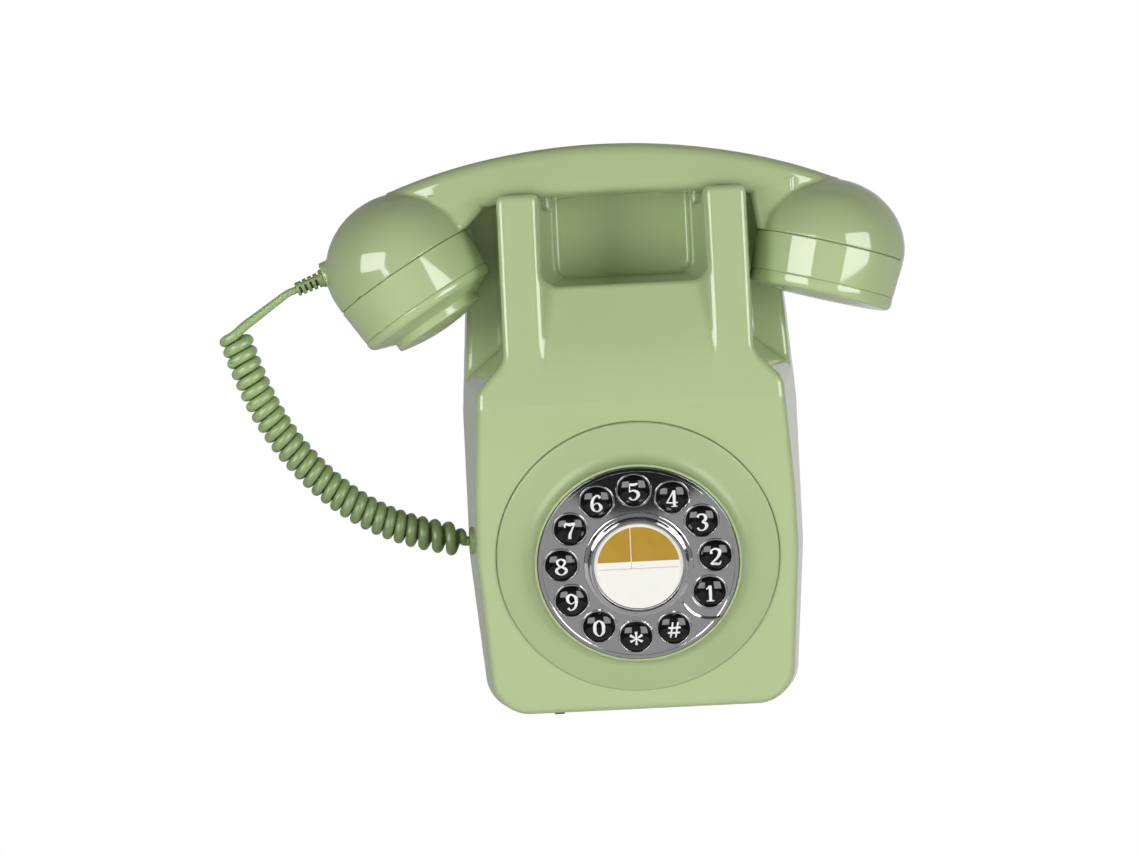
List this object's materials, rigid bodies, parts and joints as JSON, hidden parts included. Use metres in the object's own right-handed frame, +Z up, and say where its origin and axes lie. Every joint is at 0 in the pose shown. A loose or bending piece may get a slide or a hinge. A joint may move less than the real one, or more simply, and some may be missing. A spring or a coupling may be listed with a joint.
{
  "type": "wall telephone",
  "caption": "Wall telephone with push buttons in a dial layout, a handset lying across two horns and a curly cord.",
  "frame": {"origin": "middle of the back face that lies on the wall", "axes": "+X to the right seen from the front, -Y out of the wall towards the user, +Z up"},
  "size_m": [0.2735, 0.0852, 0.2277],
  "materials": {
    "shell_green": "gloss",
    "cord_green": "satin",
    "chrome": "polished",
    "label_white": "matt",
    "clear": "clear",
    "black_gloss": "gloss",
    "rubber": "satin",
    "circuit_board": "satin",
    "steel": "satin",
    "dark_plastic": "satin",
    "brass": "satin"
  },
  "bodies": {
    "base": {"case_shell": "shell_green", "back_plate": "shell_green", "dial_ring": "shell_green", "handset_cord": "cord_green", "dial_plate": "chrome", "label_bezel": "chrome", "label_card": "label_white", "label_window": "clear", "keypad_membrane": "rubber", "cord_gland": "rubber", "keypad_board": "circuit_board", "main_board": "circuit_board", "back_plate_screws": "steel", "dial_ring_screws": "steel", "keypad_screws": "steel", "hook_spring": "steel", "hook_bracket": "steel", "hook_bracket_screws": "steel", "gong_screws": "steel", "ringer_frame": "steel", "ringer_frame_screws": "steel", "ringer_core": "steel", "clapper_pin": "steel", "main_board_screws": "steel", "hook_switch": "dark_plastic", "terminal_block": "dark_plastic", "line_socket": "dark_plastic", "ringer_switch": "dark_plastic", "gong_left": "brass", "gong_right": "brass", "ringer_coil": "brass"},
    "handset": {"cord_boot": "rubber", "handset_shell": "shell_green", "handle_cover": "shell_green", "mouth_collar": "shell_green", "ear_collar": "shell_green", "collar_screws": "steel", "mouth_cap": "shell_green", "ear_cap": "shell_green", "receiver_capsule": "steel", "transmitter_capsule": "steel", "handset_weight": "steel"},
    "hook": {"hook_plunger_left": "dark_plastic", "hook_plunger_right": "dark_plastic", "hook_yoke": "dark_plastic"},
    "clapper_arm": {"clapper": "steel"},
    "ringer_slider": {"ringer_switch_knob": "dark_plastic"},
    "key_1": {"button_1": "black_gloss"},
    "key_2": {"button_2": "black_gloss"},
    "key_3": {"button_3": "black_gloss"},
    "key_4": {"button_4": "black_gloss"},
    "key_5": {"button_5": "black_gloss"},
    "key_6": {"button_6": "black_gloss"},
    "key_7": {"button_7": "black_gloss"},
    "key_8": {"button_8": "black_gloss"},
    "key_9": {"button_9": "black_gloss"},
    "key_0": {"button_0": "black_gloss"},
    "key_star": {"button_star": "black_gloss"},
    "key_hash": {"button_hash": "black_gloss"}
  },
  "joints": [
    {"name": "handset_lift", "type": "slide", "parent": "base", "child": "handset", "axis": [0, 0, 1], "range_m": [0, 0.075], "deforming": ["handset_cord", "hook_spring"]},
    {"name": "hook_rise", "type": "slide", "parent": "base", "child": "hook", "axis": [0, 0, 1], "range_m": [0, 0.005]},
    {"name": "clapper_swing", "type": "hinge", "parent": "base", "child": "clapper_arm", "pos_m": [0, -0.0088, -0.022], "axis": [0, 1, 0], "range_deg": [-4, 4], "stiffness_Nm_per_rad": 0.01},
    {"name": "ringer_slide", "type": "slide", "parent": "base", "child": "ringer_slider", "axis": [1, 0, 0], "range_m": [0, 0.005]},
    {"name": "key_1_press", "type": "slide", "parent": "base", "child": "key_1", "axis": [0, 0.9578, 0.2874], "range_m": [0, 0.0016], "stiffness_N_per_m": 300, "deforming": ["keypad_membrane"]},
    {"name": "key_2_press", "type": "slide", "parent": "base", "child": "key_2", "axis": [0, 0.9578, 0.2874], "range_m": [0, 0.0016], "stiffness_N_per_m": 300},
    {"name": "key_3_press", "type": "slide", "parent": "base", "child": "key_3", "axis": [0, 0.9578, 0.2874], "range_m": [0, 0.0016], "stiffness_N_per_m": 300},
    {"name": "key_4_press", "type": "slide", "parent": "base", "child": "key_4", "axis": [0, 0.9578, 0.2874], "range_m": [0, 0.0016], "stiffness_N_per_m": 300},
    {"name": "key_5_press", "type": "slide", "parent": "base", "child": "key_5", "axis": [0, 0.9578, 0.2874], "range_m": [0, 0.0016], "stiffness_N_per_m": 300},
    {"name": "key_6_press", "type": "slide", "parent": "base", "child": "key_6", "axis": [0, 0.9578, 0.2874], "range_m": [0, 0.0016], "stiffness_N_per_m": 300},
    {"name": "key_7_press", "type": "slide", "parent": "base", "child": "key_7", "axis": [0, 0.9578, 0.2874], "range_m": [0, 0.0016], "stiffness_N_per_m": 300},
    {"name": "key_8_press", "type": "slide", "parent": "base", "child": "key_8", "axis": [0, 0.9578, 0.2874], "range_m": [0, 0.0016], "stiffness_N_per_m": 300},
    {"name": "key_9_press", "type": "slide", "parent": "base", "child": "key_9", "axis": [0, 0.9578, 0.2874], "range_m": [0, 0.0016], "stiffness_N_per_m": 300},
    {"name": "key_0_press", "type": "slide", "parent": "base", "child": "key_0", "axis": [0, 0.9578, 0.2874], "range_m": [0, 0.0016], "stiffness_N_per_m": 300},
    {"name": "key_star_press", "type": "slide", "parent": "base", "child": "key_star", "axis": [0, 0.9578, 0.2874], "range_m": [0, 0.0016], "stiffness_N_per_m": 300},
    {"name": "key_hash_press", "type": "slide", "parent": "base", "child": "key_hash", "axis": [0, 0.9578, 0.2874], "range_m": [0, 0.0016], "stiffness_N_per_m": 300}
  ],
  "couplings": [
    {"joint": "hook_rise", "follows": "handset_lift", "ratio": 0.066667}
  ]
}
